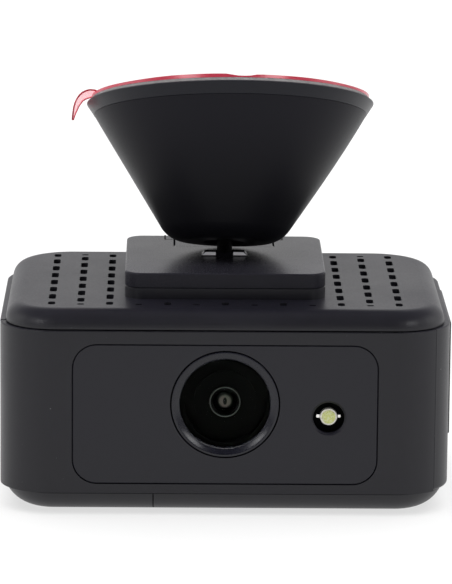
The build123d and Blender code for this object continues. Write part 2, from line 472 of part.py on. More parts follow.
save("foam_pad", MT * (CX * cz(0, 0, R_PAD, S_DISC, S_PAD)))
liner = cz(0, 0, R_PAD + 0.1, S_PAD, S_LINER)
tab_up = [(-30.6, 27.6), (-32.0, 28.25), (-33.4, 28.15), (-34.8, 27.1), (-35.7, 25.2), (-36.3, 21.6), (-35.9, 21.6), (-35.3, 25.0), (-34.5, 26.8), (-33.2, 27.72), (-32.0, 27.8), (-31.0, 27.1)]
tab = Pos(0, 6.0, 0) * Rot(90, 0, 0) * extrude(make_face(Polyline(*tab_up, close=True)), 12.0)
liner += tab
save("release_liner", MT * (CX * liner))
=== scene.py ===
import math
import bmesh
import bpy
from mathutils import Matrix, Vector


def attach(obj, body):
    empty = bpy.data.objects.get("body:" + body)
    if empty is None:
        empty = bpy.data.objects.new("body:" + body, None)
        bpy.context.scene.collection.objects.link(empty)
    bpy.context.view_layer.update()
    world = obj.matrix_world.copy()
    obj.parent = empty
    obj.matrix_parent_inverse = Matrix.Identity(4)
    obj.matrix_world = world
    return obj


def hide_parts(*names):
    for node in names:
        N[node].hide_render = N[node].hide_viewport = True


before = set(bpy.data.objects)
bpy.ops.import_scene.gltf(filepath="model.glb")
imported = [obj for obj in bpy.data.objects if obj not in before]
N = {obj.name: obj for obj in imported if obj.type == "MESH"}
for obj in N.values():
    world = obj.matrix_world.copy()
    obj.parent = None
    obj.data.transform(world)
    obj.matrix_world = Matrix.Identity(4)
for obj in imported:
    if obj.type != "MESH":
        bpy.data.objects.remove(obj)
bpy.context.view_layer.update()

MM = 0.001

# ---------------------------------------------------------------- camera
scene = bpy.context.scene
scene.view_settings.view_transform = "Standard"
scene.view_settings.look = "None"
scene.view_settings.exposure = 0.0
scene.view_settings.gamma = 1.0

cam_data = bpy.data.cameras.new("camera_main")
cam = bpy.data.objects.new("camera_main", cam_data)
scene.collection.objects.link(cam)
right = Vector((0.99989469, -0.01168013, 0.00861246))
down = Vector((0.00604129, -0.2045779, -0.97883164))
fwd = Vector((0.0131948, 0.9787806, -0.20448579))
m = Matrix.Identity(4)
for r in range(3):
    m[r][0] = right[r]
    m[r][1] = -down[r]
    m[r][2] = -fwd[r]
    m[r][3] = (-0.01256, -0.96463, 0.24503)[r]
cam.matrix_world = m
cam_data.sensor_fit = "AUTO"
cam_data.sensor_width = 36.0
cam_data.lens = 4299.15 * 36.0 / 584.0
cam_data.clip_start = 0.02
cam_data.clip_end = 20.0
scene.camera = cam


# ---------------------------------------------------------------- node helpers
class G:
    """A material's node tree, with a principled shader ready."""

    def __init__(self, name):
        self.m = bpy.data.materials.new(name)
        self.m.use_nodes = True
        self.t = self.m.node_tree
        self.n = self.t.nodes
        self.l = self.t.links
        self.b = [x for x in self.n if x.type == "BSDF_PRINCIPLED"][0]
        self.co = self.n.new("ShaderNodeTexCoord").outputs["Object"]

    def set(self, **k):
        for a, v in k.items():
            self.b.inputs[a.replace("_", " ")].default_value = v
        return self

    def link(self, a, b):
        self.l.new(a, b)

    def into(self, out, socket):
        self.l.new(out, self.b.inputs[socket])

    def noise(self, scale, detail=3.0, rough=0.55, vec=None, dist=0.0):
        x = self.n.new("ShaderNodeTexNoise")
        x.inputs["Scale"].default_value = scale
        x.inputs["Detail"].default_value = detail
        x.inputs["Roughness"].default_value = rough
        x.inputs["Distortion"].default_value = dist
        self.link(vec or self.co, x.inputs["Vector"])
        return x.outputs["Fac"]

    def map(self, v, a, b, c, d, clamp=True, smooth=False):
        x = self.n.new("ShaderNodeMapRange")
        x.clamp = clamp
        if smooth:
            x.interpolation_type = "SMOOTHSTEP"
        x.inputs["From Min"].default_value = a
        x.inputs["From Max"].default_value = b
        x.inputs["To Min"].default_value = c
        x.inputs["To Max"].default_value = d
        self.link(v, x.inputs["Value"])
        return x.outputs["Result"]

    def math(self, op, a, b=None, clamp=False):
        x = self.n.new("ShaderNodeMath")
        x.operation = op
        x.use_clamp = clamp
        for i, v in enumerate((a, b)):
            if v is None:
                continue
            if isinstance(v, (int, float)):
                x.inputs[i].default_value = v
            else:
                self.link(v, x.inputs[i])
        return x.outputs[0]

    def mix(self, fac, a, b):
        x = self.n.new("ShaderNodeMix")
        x.data_type = "RGBA"
        ins = [i for i in x.inputs if i.type == "RGBA"]
        f = [i for i in x.inputs if i.type == "VALUE"][0]
        if isinstance(fac, (int, float)):
            f.default_value = fac
        else:
            self.link(fac, f)
        for s, v in zip(ins, (a, b)):
            if isinstance(v, tuple):
                s.default_value = v if len(v) == 4 else v + (1.0,)
            else:
                self.link(v, s)
        return [o for o in x.outputs if o.type == "RGBA"][0]

    def scaled(self, sx, sy, sz):
        x = self.n.new("ShaderNodeMapping")
        x.inputs["Scale"].default_value = (sx, sy, sz)
        self.link(self.co, x.inputs["Vector"])
        return x.outputs["Vector"]

    def bump(self, height, distance, strength=1.0, normal=None):
        x = self.n.new("ShaderNodeBump")
        x.inputs["Strength"].default_value = strength
        x.inputs["Distance"].default_value = distance
        self.link(height, x.inputs["Height"])
        if normal:
            self.link(normal, x.inputs["Normal"])
        return x.outputs["Normal"]

    def specks(self, scale, radius, share, seed=0.0):
        """1 on small specks, about one cell in 1/share of a grid of 1/scale metres."""
        mp = self.n.new("ShaderNodeMapping")
        mp.inputs["Location"].default_value = (seed, seed * 0.7, seed * 1.3)
        self.link(self.co, mp.inputs["Vector"])
        v = self.n.new("ShaderNodeTexVoronoi")
        v.inputs["Scale"].default_value = scale
        self.link(mp.outputs["Vector"], v.inputs["Vector"])
        near = self.map(v.outputs["Distance"], radius * scale * 0.6, radius * scale, 1.0, 0.0)
        sep = self.n.new("ShaderNodeSeparateColor")
        self.link(v.outputs["Color"], sep.inputs["Color"])
        pick = self.math("LESS_THAN", sep.outputs[0], share)
        return self.math("MULTIPLY", near, pick)


def plastic(name, col, rough, spec=0.5, grain=3200.0, grain_h=6e-6, mottle=0.12, drough=0.06, dust=0.0, coat=0.0,
            wave=0.0, dust_col=(0.16, 0.16, 0.165)):
    g = G(name)
    big = g.noise(38.0, 4.0)
    fine = g.noise(grain, 2.0, 0.6)
    mid = g.noise(420.0, 3.0, 0.6)
    lo = tuple(c * (1 - mottle) for c in col)
    hi = tuple(c * (1 + mottle) for c in col)
    c = g.mix(g.map(g.math("ADD", g.math("MULTIPLY", big, 0.6), g.math("MULTIPLY", mid, 0.4)), 0.36, 0.64, 0.0, 1.0), lo, hi)
    r = g.map(g.math("ADD", g.math("MULTIPLY", big, 0.5), g.math("MULTIPLY", fine, 0.5)), 0.35, 0.65, rough - drough, rough + drough)
    if dust:
        s1 = g.specks(230.0, 0.00016, 0.10 * dust, 3.1)
        s2 = g.specks(640.0, 0.00007, 0.16 * dust, 7.7)
        s = g.math("MAXIMUM", s1, s2)
        c = g.mix(g.math("MULTIPLY", s, 0.8), c, dust_col)
        r = g.math("ADD", r, g.math("MULTIPLY", s, 0.3), clamp=True)
    g.into(c, "Base Color")
    g.into(r, "Roughness")
    nrm = g.bump(fine, grain_h)
    if wave:
        nrm = g.bump(g.noise(60.0, 2.0), wave, 1.0, nrm)
    g.into(nrm, "Normal")
    g.set(Specular_IOR_Level=spec)
    if coat:
        g.set(Coat_Weight=coat, Coat_Roughness=0.12)
    return g.m


def metal(name, col, rough, brushed=(1.0, 1.0, 1.0), depth=3e-6, tint=0.1):
    g = G(name)
    n1 = g.noise(900.0, 3.0, 0.6, g.scaled(*brushed))
    n2 = g.noise(70.0, 4.0)
    c = g.mix(g.map(n2, 0.35, 0.65, 0.0, 1.0), tuple(x * (1 - tint) for x in col), col)
    g.into(c, "Base Color")
    g.into(g.map(n1, 0.3, 0.7, rough - 0.07, rough + 0.09), "Roughness")
    g.into(g.bump(n1, depth), "Normal")
    g.set(Metallic=1.0)
    return g.m


# ---------------------------------------------------------------- materials
M = {}
M["case_plastic"] = plastic("case_plastic_grain", (0.0068, 0.0065, 0.0098), 0.40, spec=0.37, grain=2600.0, grain_h=9e-6, mottle=0.12, drough=0.05, dust=1.0)
M["panel_plastic"] = plastic("panel_plastic_fine", (0.0064, 0.0062, 0.0104), 0.36, spec=0.36, grain=3600.0, grain_h=5e-6, mottle=0.08, drough=0.04, dust=0.35)
M["bezel_plastic"] = plastic("bezel_plastic_satin", (0.0055, 0.0056, 0.0105), 0.27, spec=0.40, grain=4200.0, grain_h=2e-6, drough=0.03)
M["plate_plastic"] = plastic("plate_plastic_gloss", (0.0160, 0.0155, 0.0205), 0.26, spec=0.09, grain=3000.0, grain_h=3e-6, drough=0.05, dust=0.7, wave=4e-6)
M["disc_plastic"] = plastic("disc_plastic_satin", (0.0066, 0.0070, 0.0112), 0.36, spec=0.22, grain=3200.0, grain_h=4e-6, drough=0.04, dust=0.4)
M["black_plastic"] = plastic("black_plastic_matt", (0.0012, 0.0014, 0.0013), 0.5, spec=0.03, grain=2600.0, grain_h=6e-6)
# cone: black satin, painted lighter towards the rim and darker low down as painted shade, with fine pale specks of wear
g = G("cone_plastic_satin")
sp = g.n.new("ShaderNodeSeparateXYZ")
g.link(g.co, sp.inputs[0])
fine = g.noise(3200.0, 2.0, 0.6)
big = g.noise(38.0, 4.0)
# painted shade: base colour darker low on the cone and lighter towards the rim, set by height
up = g.map(sp.outputs["Z"], 0.058, 0.092, 0.0, 1.0, smooth=True)
c = g.mix(g.math("ADD", g.math("MULTIPLY", up, 0.8), g.math("MULTIPLY", big, 0.2), clamp=True), (0.0032, 0.0032, 0.0042), (0.0125, 0.0122, 0.0160))
s1 = g.specks(230.0, 0.00015, 0.045, 3.1)
s2 = g.specks(640.0, 0.00007, 0.07, 7.7)
sk = g.math("MAXIMUM", s1, s2)
c = g.mix(g.math("MULTIPLY", sk, 0.7), c, (0.10, 0.10, 0.105))
g.into(c, "Base Color")
g.into(g.map(g.math("ADD", g.math("MULTIPLY", big, 0.5), g.math("MULTIPLY", fine, 0.5)), 0.35, 0.65, 0.33, 0.43), "Roughness")
g.into(g.bump(fine, 4e-6), "Normal")
g.set(Specular_IOR_Level=0.075)
M["cone_plastic"] = g.m
M["acetal"] = plastic("acetal_black", (0.013, 0.013, 0.014), 0.34, grain=4000.0, grain_h=2e-6)
M["chip_black"] = plastic("chip_epoxy", (0.018, 0.018, 0.019), 0.55, grain=5200.0, grain_h=9e-6)
M["capacitor_sleeve"] = plastic("capacitor_sleeve_film", (0.012, 0.022, 0.07), 0.3, grain=2500.0, grain_h=3e-6)
M["lamp_white"] = plastic("lamp_white_ceramic", (0.80, 0.78, 0.70), 0.38, grain=5200.0, grain_h=5e-6, mottle=0.04)
M["ceramic"] = plastic("patch_ceramic", (0.62, 0.57, 0.47), 0.5, grain=3500.0, grain_h=8e-6, mottle=0.06)
M["thermal_pad"] = plastic("thermal_pad_grey", (0.25, 0.30, 0.36), 0.75, grain=2200.0, grain_h=1.2e-5)
M["steel"] = metal("steel_plated", (0.62, 0.61, 0.59), 0.27, (1.0, 1.0, 0.25))
M["heat_sink_aluminium"] = metal("heat_sink_black_anodised", (0.30, 0.30, 0.31), 0.42, (1.0, 0.06, 1.0))
M["lamp_metal"] = metal("lamp_lead_tin", (0.86, 0.85, 0.82), 0.24)

# foam: dark grey open-cell tape edge
g = G("foam_tape_cells")
v = g.n.new("ShaderNodeTexVoronoi")
v.inputs["Scale"].default_value = 3600.0
g.link(g.co, v.inputs["Vector"])
n = g.noise(900.0, 4.0, 0.7)
g.into(g.mix(g.map(n, 0.3, 0.7, 0.0, 1.0), (0.085, 0.082, 0.083), (0.15, 0.145, 0.147)), "Base Color")
g.into(g.map(n, 0.3, 0.7, 0.75, 0.95), "Roughness")
g.into(g.bump(v.outputs["Distance"], 5e-5), "Normal")
M["foam"] = g.m

# red film: thin translucent plastic
g = G("red_film_translucent")
n = g.noise(45.0, 3.0, 0.5)
f = g.noise(1500.0, 2.0, 0.6)
g.into(g.mix(g.map(n, 0.35, 0.65, 0.0, 1.0), (0.34, 0.016, 0.035), (0.50, 0.05, 0.085)), "Base Color")
g.into(g.map(n, 0.3, 0.7, 0.16, 0.28), "Roughness")
g.into(g.bump(f, 2e-6, 1.0, g.bump(n, 3e-5)), "Normal")
g.set(Specular_IOR_Level=0.55)
M["red_film"] = g.m

# printed board: green mask, tracks and pads
g = G("circuit_board_mask")
br = g.n.new("ShaderNodeTexBrick")
br.inputs["Scale"].default_value = 260.0
br.inputs["Mortar Size"].default_value = 0.09
br.inputs["Color1"].default_value = (0.0, 0.0, 0.0, 1)
br.inputs["Color2"].default_value = (0.25, 0.25, 0.25, 1)
br.inputs["Mortar"].default_value = (1, 1, 1, 1)
g.link(g.co, br.inputs["Vector"])
n = g.noise(120.0, 4.0)
c = g.mix(g.map(n, 0.35, 0.65, 0.0, 1.0), (0.010, 0.060, 0.028), (0.016, 0.085, 0.040))
c = g.mix(g.math("MULTIPLY", br.outputs["Fac"], 0.7), c, (0.03, 0.16, 0.07))
pads = g.specks(900.0, 0.00028, 0.22, 1.9)
c = g.mix(pads, c, (0.66, 0.55, 0.30))
g.into(c, "Base Color")
g.into(g.map(pads, 0.0, 1.0, 0.30, 0.22), "Roughness")
g.into(pads, "Metallic")
g.into(g.bump(br.outputs["Fac"], 1.2e-5), "Normal")
M["circuit_board"] = g.m

# flat cable and film antenna: amber film with faint tracks
g = G("flex_film_amber")
w = g.n.new("ShaderNodeTexWave")
w.inputs["Scale"].default_value = 320.0
w.inputs["Distortion"].default_value = 0.3
g.link(g.co, w.inputs["Vector"])
c = g.mix(g.map(w.outputs["Fac"], 0.4, 0.6, 0.0, 1.0), (0.20, 0.075, 0.015), (0.34, 0.15, 0.04))
g.into(c, "Base Color")
g.into(g.map(g.noise(600.0), 0.3, 0.7, 0.28, 0.42), "Roughness")
g.into(g.bump(w.outputs["Fac"], 1e-5), "Normal")
M["flex_film"] = g.m

# lens window: clear flat glass with a broad-band coating, thin enough to be treated as one clear layer
g = G("window_glass_coated")
n = g.noise(90.0, 3.0)
g.into(g.mix(g.map(n, 0.3, 0.7, 0.0, 1.0), (0.90, 0.93, 0.91), (0.95, 0.97, 0.95)), "Base Color")
g.into(g.map(g.noise(160.0), 0.3, 0.7, 0.0, 0.001), "Roughness")
g.set(Transmission_Weight=1.0, IOR=1.015)
M["window_glass"] = g.m

# lens elements: coated, so their reflections are faint, green to magenta
g = G("lens_glass_coated")
n = g.noise(300.0, 3.0)
g.into(g.mix(g.map(n, 0.3, 0.7, 0.0, 1.0), (0.55, 0.75, 0.62), (0.72, 0.62, 0.68)), "Base Color")
g.into(g.map(g.noise(900.0), 0.3, 0.7, 0.0, 0.004), "Roughness")
g.set(Transmission_Weight=1.0, IOR=1.03)
M["lens_glass"] = g.m

g = G("light_guide_clear")
n = g.noise(700.0, 3.0)
g.into(g.mix(g.map(n, 0.3, 0.7, 0.0, 1.0), (0.75, 0.80, 0.82), (0.86, 0.90, 0.92)), "Base Color")
g.into(g.map(n, 0.3, 0.7, 0.12, 0.3), "Roughness")
g.set(Transmission_Weight=0.7, IOR=1.49)
M["light_guide"] = g.m

# phosphor: yellow silicone dome with a grainy body
g = G("lamp_phosphor_yellow")
n = g.noise(6000.0, 3.0, 0.7)
rad = g.noise(1500.0, 2.0)
c = g.mix(g.map(n, 0.3, 0.7, 0.0, 1.0), (0.60, 0.62, 0.14), (0.82, 0.82, 0.34))
c = g.mix(g.map(rad, 0.45, 0.65, 0.0, 0.6), c, (0.85, 0.84, 0.58))
g.into(c, "Base Color")
g.into(g.map(n, 0.3, 0.7, 0.2, 0.4), "Roughness")
g.into(g.bump(n, 2e-5), "Normal")
g.set(Subsurface_Weight=0.15, Specular_IOR_Level=0.5)
M["lamp_phosphor"] = g.m

SLOTS = {
    "case_plastic": "front_shell back_cover left_side_panel right_side_panel top_cover bottom_cover card_door",
    "panel_plastic": "front_panel",
    "bezel_plastic": "lens_bezel",
    "plate_plastic": "slide_plate release_tongue",
    "cone_plastic": "mount_cone mount_disc socket_cap",
    "black_plastic": "lens_barrel lens_holder light_baffle lamp_well camera_bracket board_connector speaker memory_card event_button",
    "acetal": "lower_ball_seat upper_ball_seat",
    "window_glass": "lens_window",
    "lens_glass": "lens_elements ir_filter",
    "circuit_board": "main_board camera_board lamp_board button_board",
    "chip_black": "processor memory_chips modem_module microphone image_sensor tact_switch",
    "steel": "case_screws board_screws camera_screws clamp_screws disc_screws door_pin modem_shield power_inlet card_socket ball_stud",
    "heat_sink_aluminium": "heat_sink",
    "thermal_pad": "thermal_pad",
    "ceramic": "gnss_antenna",
    "flex_film": "ribbon_cable lte_antenna",
    "capacitor_sleeve": "supercapacitors",
    "light_guide": "light_guides",
    "lamp_white": "lamp_package",
    "lamp_phosphor": "lamp_phosphor",
    "lamp_metal": "lamp_leads",
    "foam": "foam_pad",
    "red_film": "release_liner",
}
for slot, names in SLOTS.items():
    for nm in names.split():
        o = N[nm]
        o.data.materials.clear()
        o.data.materials.append(M[slot])
N["mount_disc"].data.materials[0] = M["disc_plastic"]
M["stud_black"] = plastic("stud_black_oxide", (0.0016, 0.0016, 0.002), 0.36, spec=0.04, grain=2600.0, grain_h=3e-6)
N["ball_stud"].data.materials[0] = M["stud_black"]


def put(bm, name, mat, body, smooth=True, angle=35.0):
    me = bpy.data.meshes.new(name)
    bmesh.ops.recalc_face_normals(bm, faces=bm.faces)
    bm.to_mesh(me)
    bm.free()
    o = bpy.data.objects.new(name, me)
    scene.collection.objects.link(o)
    me.materials.append(mat)
    if smooth:
        me.shade_smooth()
        me.set_sharp_from_angle(angle=math.radians(angle))
    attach(o, body)
    return o


def lathe(bm, prof, seg, at, closed=True):
    """Turns a profile of (radius, y) about the lens axis through at = (x, z), all in millimetres."""
    rings = []
    for r, y in prof:
        if r < 1e-6:
            rings.append([bm.verts.new((at[0] * MM, y * MM, at[1] * MM))])
        else:
            rings.append([bm.verts.new(((at[0] + r * math.cos(2 * math.pi * i / seg)) * MM, y * MM, (at[1] + r * math.sin(2 * math.pi * i / seg)) * MM)) for i in range(seg)])
    pairs = list(zip(rings[:-1], rings[1:]))
    if closed:
        pairs.append((rings[-1], rings[0]))
    for a, b in pairs:
        for i in range(seg):
            j = (i + 1) % seg
            if len(a) == 1 and len(b) == 1:
                continue
            if len(a) == 1:
                bm.faces.new((a[0], b[i], b[j]))
            elif len(b) == 1:
                bm.faces.new((a[i], b[0], a[j]))
            else:
                bm.faces.new((a[i], b[i], b[j], a[j]))


LX, LZ = 0.0, 25.3
# thin bare edge round the nose of the lens barrel
ring_metal = metal("barrel_edge_anodised", (0.115, 0.125, 0.12), 0.42, (1.0, 1.0, 1.0), 1e-6)
bm = bmesh.new()
prof = [(3.33 + 0.10 * math.cos(t * math.pi / 6), -32.62 + 0.10 * math.sin(t * math.pi / 6)) for t in range(12)]
lathe(bm, prof, 96, (LX, LZ))
barrel_edge = put(bm, "barrel_edge_ring", ring_metal, "camera")

# lens bezel: a conical ring stepping down to the window, with a small land outside it
YF = -35.3
bm = bmesh.new()
prof = [(11.96, YF + 4.0), (11.96, YF + 0.16), (11.90, YF + 0.06), (11.80, YF + 0.02), (11.42, YF + 0.03), (11.32, YF + 0.07), (10.18, YF + 0.66), (10.08, YF + 0.76), (10.03, YF + 0.90), (10.03, YF + 1.9), (10.8, YF + 4.0)]
lathe(bm, prof, 160, (LX, LZ))
bezel_ring = put(bm, "bezel_ring", M["bezel_plastic"], "camera", angle=28)
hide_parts("lens_bezel")

# black printed border behind the window and the dark step under it
bm = bmesh.new()
prof = [(10.02, YF + 1.76), (9.1, YF + 1.76), (9.1, YF + 4.2), (9.3, YF + 4.2), (9.3, YF + 2.2), (10.02, YF + 1.95)]
lathe(bm, prof, 128, (LX, LZ))
window_border = put(bm, "window_border", M["black_plastic"], "camera", angle=28)

# inner group seen through the front element: a dark iris with a pinkish ring round it, the ring a painted reflection of
# the coatings
g = G("inner_group_painted_reflection")
sp = g.n.new("ShaderNodeSeparateXYZ")
g.link(g.co, sp.inputs[0])
dx = g.math("MULTIPLY", sp.outputs["X"], 1000.0)
dz = g.math("MULTIPLY", g.math("SUBTRACT", sp.outputs["Z"], LZ * MM), 1000.0)
rr_ = g.math("SQRT", g.math("ADD", g.math("POWER", g.math("ABSOLUTE", dx), 2.0), g.math("POWER", g.math("ABSOLUTE", dz), 2.0)))
iris = g.math("SQRT", g.math("ADD", g.math("POWER", g.math("ABSOLUTE", g.math("MULTIPLY", dx, 1.9)), 2.0), g.math("POWER", g.math("ABSOLUTE", dz), 2.0)))
# painted reflection: the pinkish ring between the iris and the rim of the group
outer_f = g.map(rr_, 1.05, 1.62, 1.0, 0.0, smooth=True)
inner_f = g.map(iris, 0.65, 1.05, 0.0, 1.0, smooth=True)
amt = g.math("MULTIPLY", outer_f, inner_f)
tone = g.mix(g.noise(1400.0, 3.0), (0.15, 0.105, 0.105), (0.105, 0.105, 0.09))
g.into(g.mix(amt, (0.004, 0.006, 0.005), tone), "Base Color")
g.into(g.map(g.noise(2500.0), 0.3, 0.7, 0.14, 0.24), "Roughness")
g.set(Specular_IOR_Level=0.15)
M["inner_group"] = g.m
bm = bmesh.new()
prof = [(0.0, -31.86), (0.5, -31.83), (1.0, -31.74), (1.4, -31.6), (1.8, -31.42), (2.1, -31.24), (2.1, -31.12), (0.0, -31.12)]
lathe(bm, prof, 64, (LX, LZ), closed=False)
inner_group = put(bm, "inner_lens_group", M["inner_group"], "camera")

# release film: thin, slightly wavy, with a curled pull tab at its left edge
TILT, ROLL, HZ, MX = math.radians(16.93), math.radians(1.3), 62.35, 0.17
ax_q = Vector((0, math.cos(TILT), -math.sin(TILT)))
ax_s = Vector((0, math.sin(TILT), math.cos(TILT)))
roll = Matrix.Rotation(ROLL, 3, "Y")


def mp(x, q, s_):
    v = roll @ (Vector((x + MX, 0, 0)) + ax_q * q + ax_s * s_)
    return Vector((v.x, v.y, v.z + HZ)) * MM


# the moulded rim of the real mount sits a little askew on its cone: its own plane and centre
S_BOT, S_GRV = -7.15, 22.9
T2, R2 = math.radians(18.5), math.radians(-0.27)
bq = Vector((0, math.cos(T2), -math.sin(T2)))
bs = Vector((0, math.sin(T2), math.cos(T2)))
roll2 = Matrix.Rotation(R2, 3, "Y")
rim_at = mp(0, 0, S_GRV - 0.87) + Vector((0.50 * MM, 0, 0))


def mp2(x, q, t):
    return rim_at + roll2 @ (Vector((x, 0, 0)) + bq * q + bs * t) * MM


def warp_copy(node, name, fn, mat):
    """A copy of a mount part whose points are carried to the rim's own plane."""
    me = N[node].data.copy()
    mw = N[node].matrix_world.copy()
    inv = roll.transposed()
    for v in me.vertices:
        d = (mw @ v.co) / MM
        d = inv @ Vector((d.x, d.y, d.z - HZ))
        v.co = fn(d.x - MX, d.dot(ax_q), d.dot(ax_s))
    o = bpy.data.objects.new(name, me)
    scene.collection.objects.link(o)
    me.materials.clear()
    me.materials.append(mat)
    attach(o, "mount")
    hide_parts(node)
    return o


def cone_fn(x, q, s_):
    w = max(0.0, min(1.0, (s_ - S_BOT) / (S_GRV - S_BOT))) ** 1.3
    k = 1.0 - 0.022 * w
    return mp(x, q, s_).lerp(mp2(x * k, q * k, s_ - S_GRV), w)


warp_copy("mount_cone", "mount_cone_moulding", cone_fn, M["cone_plastic"])
warp_copy("disc_screws", "disc_screws_sunk", lambda x, q, s_: mp2(x, q, s_ - S_GRV - 0.9), M["steel"])


def lathe2(bm, prof, seg):
    rings = []
    for r, t in prof:
        rings.append([bm.verts.new(mp2(0, 0, t))] if r < 1e-6 else [bm.verts.new(mp2(r * math.cos(2 * math.pi * i / seg), r * math.sin(2 * math.pi * i / seg), t)) for i in range(seg)])
    for a, b in zip(rings[:-1], rings[1:]):
        for i in range(seg):
            j = (i + 1) % seg
            if len(a) == 1:
                bm.faces.new((a[0], b[i], b[j]))
            elif len(b) == 1:
                bm.faces.new((a[i], b[0], a[j]))
            else:
                bm.faces.new((a[i], b[i], b[j], a[j]))


bm = bmesh.new()
lathe2(bm, [(0, 2.75), (32.46, 2.75), (32.64, 2.72), (32.76, 2.62), (32.77, 2.52), (32.72, 2.40), (32.0, 1.32), (31.25, 0.16), (31.20, 0.08), (31.10, 0.05), (30.4, 0.08), (29.7, -1.0), (29.0, -1.0), (28.8, 1.6), (0, 1.6)], 192)
rim = put(bm, "mount_rim", M["disc_plastic"], "mount", angle=28)
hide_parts("mount_disc")
bm = bmesh.new()
lathe2(bm, [(0, 2.75), (32.4, 2.75), (32.42, 2.88), (32.2, 3.08), (31.85, 3.45), (31.7, 3.6), (0, 3.6)], 160)
pad = put(bm, "foam_edge", M["foam"], "mount", angle=40)
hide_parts("foam_pad")


g = G("red_film_tab_painted_glow")
n = g.noise(260.0, 3.0, 0.5)
f = g.noise(1500.0, 2.0, 0.6)
g.into(g.mix(g.map(n, 0.35, 0.65, 0.0, 1.0), (0.66, 0.05, 0.10), (0.80, 0.16, 0.20)), "Base Color")
g.into(g.map(n, 0.3, 0.7, 0.22, 0.34), "Roughness")
g.into(g.bump(f, 2e-6, 1.0, g.bump(n, 1e-5)), "Normal")
# painted light: the tab glows a little pink, as if lit through from behind
g.set(Specular_IOR_Level=0.3, Alpha=0.42, Emission_Color=(0.95, 0.25, 0.33, 1.0), Emission_Strength=0.45)
M["red_tab"] = g.m

R_F = 31.75
bm = bmesh.new()
SEG, RN = 144, 10


def wav(x, q):
    r = math.hypot(x, q)
    a = math.atan2(q, x)
    w = 0.10 * math.sin(3 * a + 0.6) + 0.05 * math.sin(7 * a + 2.1)
    dip = 0.42 * math.exp(-((x - 2.4) / 2.6) ** 4) * (1 if q < 0 else 0) * max(0.0, (r - 26) / 6.0)
    return w * (r / R_F) ** 3 - dip


top, low = [], []
for k in range(RN + 1):
    r = R_F * k / RN
    if k == 0:
        top.append([bm.verts.new(mp2(0, 0, 4.3))])
        low.append([bm.verts.new(mp2(0, 0, 3.6))])
        continue
    rt, rl = [], []
    for i in range(SEG):
        a = 2 * math.pi * i / SEG
        x, q = r * math.cos(a), r * math.sin(a)
        w = wav(x, q)
        rt.append(bm.verts.new(mp2(x, q, 4.3 + min(0.12, w))))
        rl.append(bm.verts.new(mp2(x, q, 3.58)))
    top.append(rt)
    low.append(rl)
for st, flip in ((top, False), (low, True)):
    for k in range(RN):
        A, B = st[k], st[k + 1]
        for i in range(SEG):
            j = (i + 1) % SEG
            vs = (A[0], B[i], B[j]) if k == 0 else (A[i], B[i], B[j], A[j])
            bm.faces.new(vs[::-1] if flip else vs)
for i in range(SEG):
    j = (i + 1) % SEG
    bm.faces.new((top[-1][j], top[-1][i], low[-1][i], low[-1][j]))
film = put(bm, "release_film", M["red_film"], "mount", angle=60)
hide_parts("release_liner")

# pull tab: one curled strip, tapering to a rounded tip
near = [(-29.6, 25.75), (-30.6, 26.25), (-31.66, 26.33), (-32.56, 26.11), (-33.39, 25.66), (-34.05, 25.01), (-34.57, 24.23), (-34.94, 23.37), (-35.19, 22.46), (-35.33, 21.53), (-35.44, 20.59), (-35.51, 19.85)]
far = [(-29.6, 25.85), (-30.5, 26.2), (-31.3, 26.1), (-32.0, 25.85), (-32.8, 25.55), (-33.47, 25.05), (-33.88, 24.4), (-34.29, 23.76), (-34.56, 23.04), (-34.84, 22.33), (-35.14, 21.4), (-35.4, 20.3)]
half = [5.4, 5.3, 5.2, 5.0, 5.0, 5.0, 4.9, 4.7, 4.4, 3.9, 3.0, 1.8]
bm = bmesh.new()
NQ = 10
V = []
for i, ((xa, sa), (xb, sb), w) in enumerate(zip(near, far, half)):
    i0, i1 = max(0, i - 1), min(len(near) - 1, i + 1)
    row = []
    for j in range(NQ + 1):
        f = j / NQ
        x, s_ = xa + (xb - xa) * f, sa + (sb - sa) * f
        tx = (near[i1][0] - near[i0][0]) * (1 - f) + (far[i1][0] - far[i0][0]) * f
        ts = (near[i1][1] - near[i0][1]) * (1 - f) + (far[i1][1] - far[i0][1]) * f
        tl = math.hypot(tx, ts)
        nx, ns = 0.05 * ts / tl, -0.05 * tx / tl
        q = -w + 2 * w * f
        row.append((bm.verts.new(mp(x + nx, q, s_ + ns)), bm.verts.new(mp(x - nx, q, s_ - ns))))
    V.append(row)
for i in range(len(V) - 1):
    for j in range(NQ):
        bm.faces.new((V[i][j][0], V[i + 1][j][0], V[i + 1][j + 1][0], V[i][j + 1][0]))
        bm.faces.new((V[i][j][1], V[i][j + 1][1], V[i + 1][j + 1][1], V[i + 1][j][1]))
    bm.faces.new((V[i][0][0], V[i][0][1], V[i + 1][0][1], V[i + 1][0][0]))
    bm.faces.new((V[i][NQ][0], V[i + 1][NQ][0], V[i + 1][NQ][1], V[i][NQ][1]))
for j in range(NQ):
    bm.faces.new((V[0][j][0], V[0][j + 1][0], V[0][j + 1][1], V[0][j][1]))
    bm.faces.new((V[-1][j][0], V[-1][j][1], V[-1][j + 1][1], V[-1][j + 1][0]))
tab = put(bm, "pull_tab", M["red_tab"], "mount", angle=60)

# deeper red bead along the tab's two side edges, where the film is cut and seen end-on
g = G("red_film_edge")
n = g.noise(900.0, 3.0)
g.into(g.mix(g.map(n, 0.35, 0.65, 0.0, 1.0), (0.36, 0.01, 0.03), (0.50, 0.02, 0.05)), "Base Color")
g.into(g.map(n, 0.3, 0.7, 0.25, 0.4), "Roughness")
M["red_edge"] = g.m
bm = bmesh.new()
for sgn in (-1, 1):
    prev = None
    for (x, s_), w in zip(near if sgn < 0 else far, half):
        q = sgn * w
        ring = [bm.verts.new(mp(x + 0.19 * math.cos(a), q + 0.12 * sgn * math.sin(a + 0.5), s_ + 0.19 * math.sin(a))) for a in [k * math.pi / 3 for k in range(6)]]
        if prev:
            for k in range(6):
                bm.faces.new((prev[k], prev[(k + 1) % 6], ring[(k + 1) % 6], ring[k]))
        else:
            bm.faces.new(ring)
        prev = ring
    bm.faces.new(prev[::-1])
